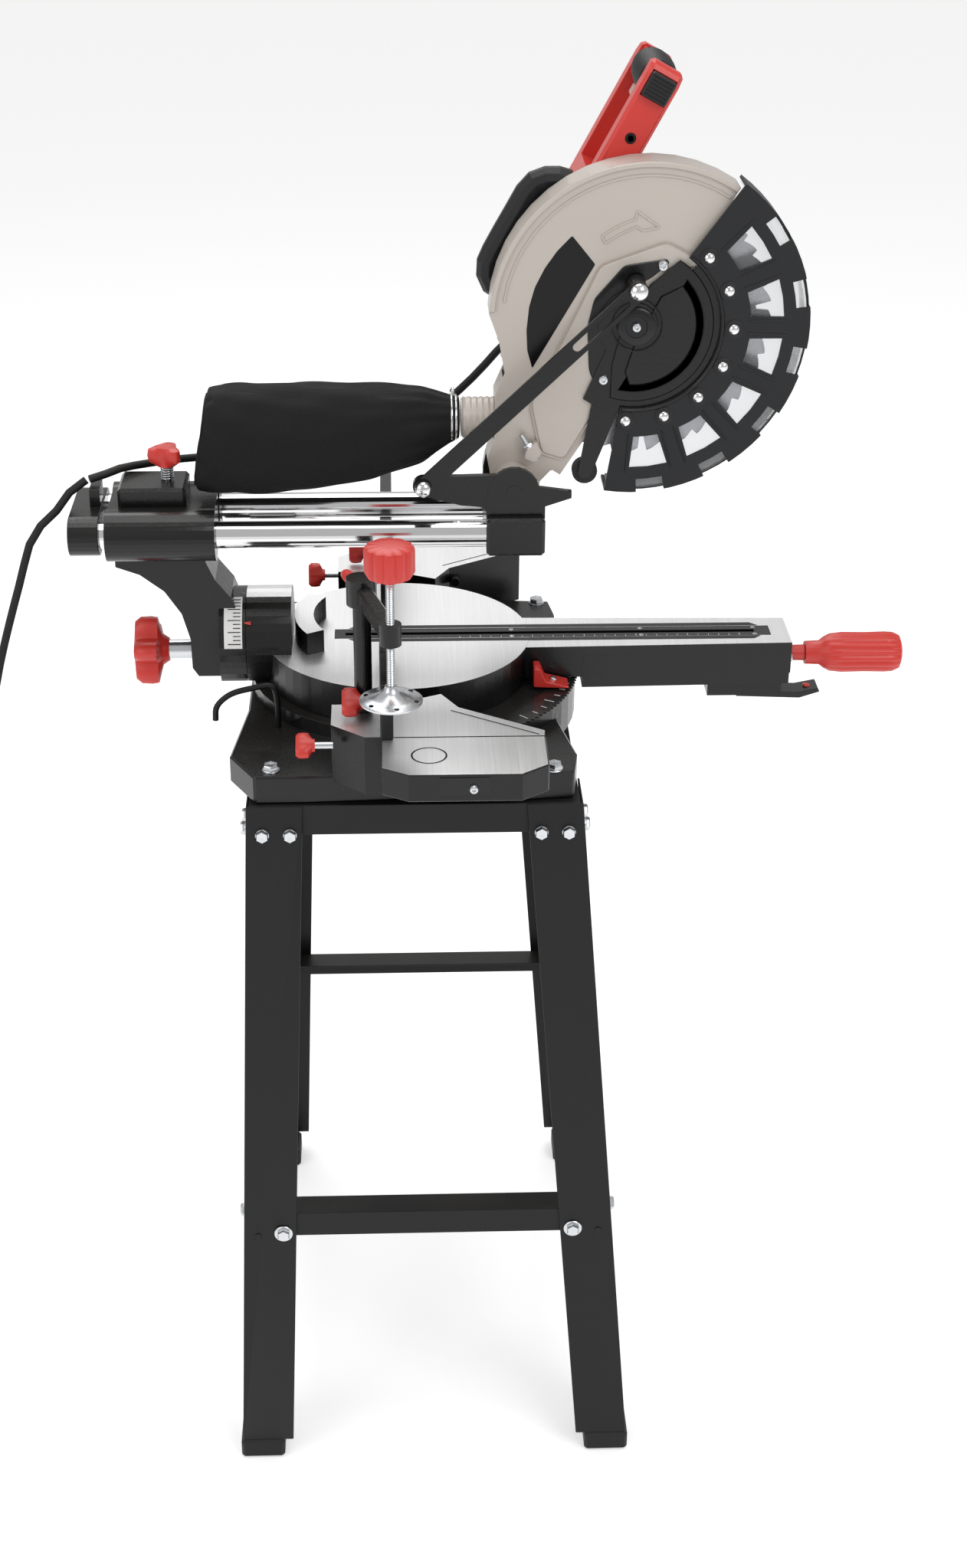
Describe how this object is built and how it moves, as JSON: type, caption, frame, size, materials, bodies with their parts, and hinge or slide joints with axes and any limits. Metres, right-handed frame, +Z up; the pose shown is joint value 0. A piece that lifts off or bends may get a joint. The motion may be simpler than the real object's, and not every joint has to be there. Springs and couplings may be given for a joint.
{
  "type": "sliding mitre saw on steel stand",
  "caption": "Sliding compound mitre saw with swinging blade guard, dust bag, hold-down clamp and extension tables, bolted to a splayed steel angle stand.",
  "frame": {"origin": "centre of the object's footprint box on the floor, without the cord", "axes": "+Z up, -Y the operator's side where the grip is, +X the motor side"},
  "size_m": [0.5986, 1.1175, 1.3283],
  "materials": {
    "satin_black": "satin",
    "gloss_black": "gloss",
    "machined": "machined",
    "chrome": "polished",
    "zinc": "plated",
    "blade_steel": "ground",
    "guard_cast": "satin",
    "red_plastic": "satin",
    "charcoal": "matte",
    "clear": "clear",
    "rubber": "matte",
    "copper": "wound copper",
    "bag_cloth": "woven"
  },
  "bodies": {
    "stand_and_base": {"leg_near_rear": "satin_black", "leg_near_front": "satin_black", "leg_far_rear": "satin_black", "leg_far_front": "satin_black", "foot_near_rear": "rubber", "foot_near_front": "rubber", "foot_far_rear": "rubber", "foot_far_front": "rubber", "top_rail_near": "satin_black", "top_rail_far": "satin_black", "top_rail_rear": "satin_black", "top_rail_front": "satin_black", "lower_rail_near": "satin_black", "lower_rail_far": "satin_black", "lower_rail_rear": "satin_black", "lower_rail_front": "satin_black", "base_casting": "gloss_black", "fence_near": "gloss_black", "fence_far": "gloss_black", "cord_free": "rubber", "cord_coil": "rubber", "plug": "rubber"},
    "extension_near": {"extension_near": "machined"},
    "extension_far": {"extension_far": "machined"},
    "upper_fence_near": {"upper_fence_near": "gloss_black"},
    "turntable": {"turntable": "machined", "kerf_insert": "gloss_black"},
    "mitre_grip": {"mitre_grip": "red_plastic"},
    "detent_lever": {"detent_lever": "gloss_black"},
    "bevel_arm": {"bevel_arm": "gloss_black"},
    "bevel_knob": {"bevel_knob": "red_plastic"},
    "slide_lock_knob": {"slide_lock_knob": "red_plastic"},
    "slider": {"carriage": "gloss_black", "rail_near": "chrome", "rail_far": "chrome", "rear_cap": "gloss_black", "chop_spring": "zinc", "cord_lead": "rubber"},
    "head": {"upper_guard": "guard_cast", "gear_housing": "charcoal", "motor_housing": "charcoal", "motor_end_cap": "charcoal", "stator": "zinc", "arbor_bearing": "chrome", "handle_yoke": "red_plastic", "handle_grip": "charcoal", "carry_handle": "charcoal", "dust_bag": "bag_cloth"},
    "arbor": {"arbor": "zinc", "saw_blade": "blade_steel"},
    "rotor": {"rotor": "copper"},
    "lower_guard": {"lower_guard": "charcoal", "clear_shield": "clear", "guard_hub": "gloss_black"},
    "guard_roller": {"guard_roller": "charcoal"},
    "link_bar": {"link_bar": "gloss_black"},
    "trigger": {"trigger": "guard_cast"},
    "lock_button": {"lock_button": "charcoal"},
    "clamp_arm": {"clamp_post": "gloss_black"},
    "clamp_screw": {"clamp_screw": "zinc"}
  },
  "joints": [
    {"name": "mitre", "type": "hinge", "parent": "stand_and_base", "child": "turntable", "pos_m": [0, 0.09525, 0.78], "axis": [0, 0, 1], "range_deg": [-45, 45]},
    {"name": "bevel", "type": "hinge", "parent": "turntable", "child": "bevel_arm", "pos_m": [0, 0.23775, 0.798], "axis": [0, 1, 0], "range_deg": [-45, 0]},
    {"name": "slide", "type": "slide", "parent": "bevel_arm", "child": "slider", "axis": [0, -1, 0], "range_m": [-0.24, 0], "deforming": ["dust_bag", "cord_free", "cord_lead"]},
    {"name": "chop", "type": "hinge", "parent": "slider", "child": "head", "pos_m": [0, -0.01305, 0.957], "axis": [1, 0, 0], "range_deg": [0, 65], "stiffness_Nm_per_rad": 14, "springref_deg": -126.05, "deforming": ["chop_spring"]},
    {"name": "guard_swing", "type": "hinge", "parent": "head", "child": "lower_guard", "pos_m": [0, -0.12175, 1.106], "axis": [-1, 0, 0], "range_deg": [0, 127.1]},
    {"name": "link_swing", "type": "hinge", "parent": "slider", "child": "link_bar", "pos_m": [0, 0.07025, 0.964], "axis": [1, 0, 0], "range_deg": [0, 44.8]},
    {"name": "roller_spin", "type": "hinge", "parent": "lower_guard", "child": "guard_roller", "pos_m": [0, -0.0795, 0.96781], "axis": [1, 0, 0], "continuous": true},
    {"name": "blade_spin", "type": "hinge", "parent": "head", "child": "arbor", "pos_m": [0, -0.12175, 1.106], "axis": [1, 0, 0], "continuous": true},
    {"name": "rotor_spin", "type": "hinge", "parent": "head", "child": "rotor", "pos_m": [0, -0.08958, 1.13817], "axis": [1, 0, 0], "continuous": true},
    {"name": "trigger_pull", "type": "slide", "parent": "head", "child": "trigger", "axis": [0, -0.4772, 0.8788], "range_m": [0, 0.004], "stiffness_N_per_m": 900, "springref_m": -0.002},
    {"name": "lock_button_push", "type": "slide", "parent": "head", "child": "lock_button", "axis": [1, 0, 0], "range_m": [0, 0.0035], "stiffness_N_per_m": 700, "springref_m": -0.002},
    {"name": "bevel_knob_turn", "type": "hinge", "parent": "bevel_arm", "child": "bevel_knob", "pos_m": [0, 0.31525, 0.784], "axis": [0, 1, 0], "range_deg": [-90, 0]},
    {"name": "slide_lock_turn", "type": "hinge", "parent": "bevel_arm", "child": "slide_lock_knob", "pos_m": [0, 0.30675, 0.97], "axis": [0, 0, 1], "range_deg": [0, 180]},
    {"name": "mitre_grip_turn", "type": "hinge", "parent": "turntable", "child": "mitre_grip", "pos_m": [0, -0.30475, 0.774], "axis": [0, 1, 0], "range_deg": [-90, 0]},
    {"name": "detent_press", "type": "hinge", "parent": "turntable", "child": "detent_lever", "pos_m": [0, -0.23475, 0.7345], "axis": [1, 0, 0], "range_deg": [0, 9], "stiffness_Nm_per_rad": 1, "springref_deg": -20.05},
    {"name": "fence_slide", "type": "slide", "parent": "stand_and_base", "child": "upper_fence_near", "axis": [1, 0, 0], "range_m": [0, 0.06]},
    {"name": "extension_near_slide", "type": "slide", "parent": "stand_and_base", "child": "extension_near", "axis": [-1, 0, 0], "range_m": [0, 0.05]},
    {"name": "extension_far_slide", "type": "slide", "parent": "stand_and_base", "child": "extension_far", "axis": [1, 0, 0], "range_m": [0, 0.05]},
    {"name": "clamp_swing", "type": "hinge", "parent": "stand_and_base", "child": "clamp_arm", "pos_m": [-0.17, 0.12625, 0.8], "axis": [0, 0, 1], "range_deg": [0, 75]},
    {"name": "clamp_feed", "type": "slide", "parent": "clamp_arm", "child": "clamp_screw", "axis": [0, 0, -1], "range_m": [0, 0.04]}
  ],
  "couplings": [
    {"joint": "guard_swing", "follows": "chop", "ratio": 1.9538},
    {"joint": "link_swing", "follows": "chop", "ratio": 0.688},
    {"joint": "rotor_spin", "follows": "blade_spin", "ratio": -3.6667}
  ]
}
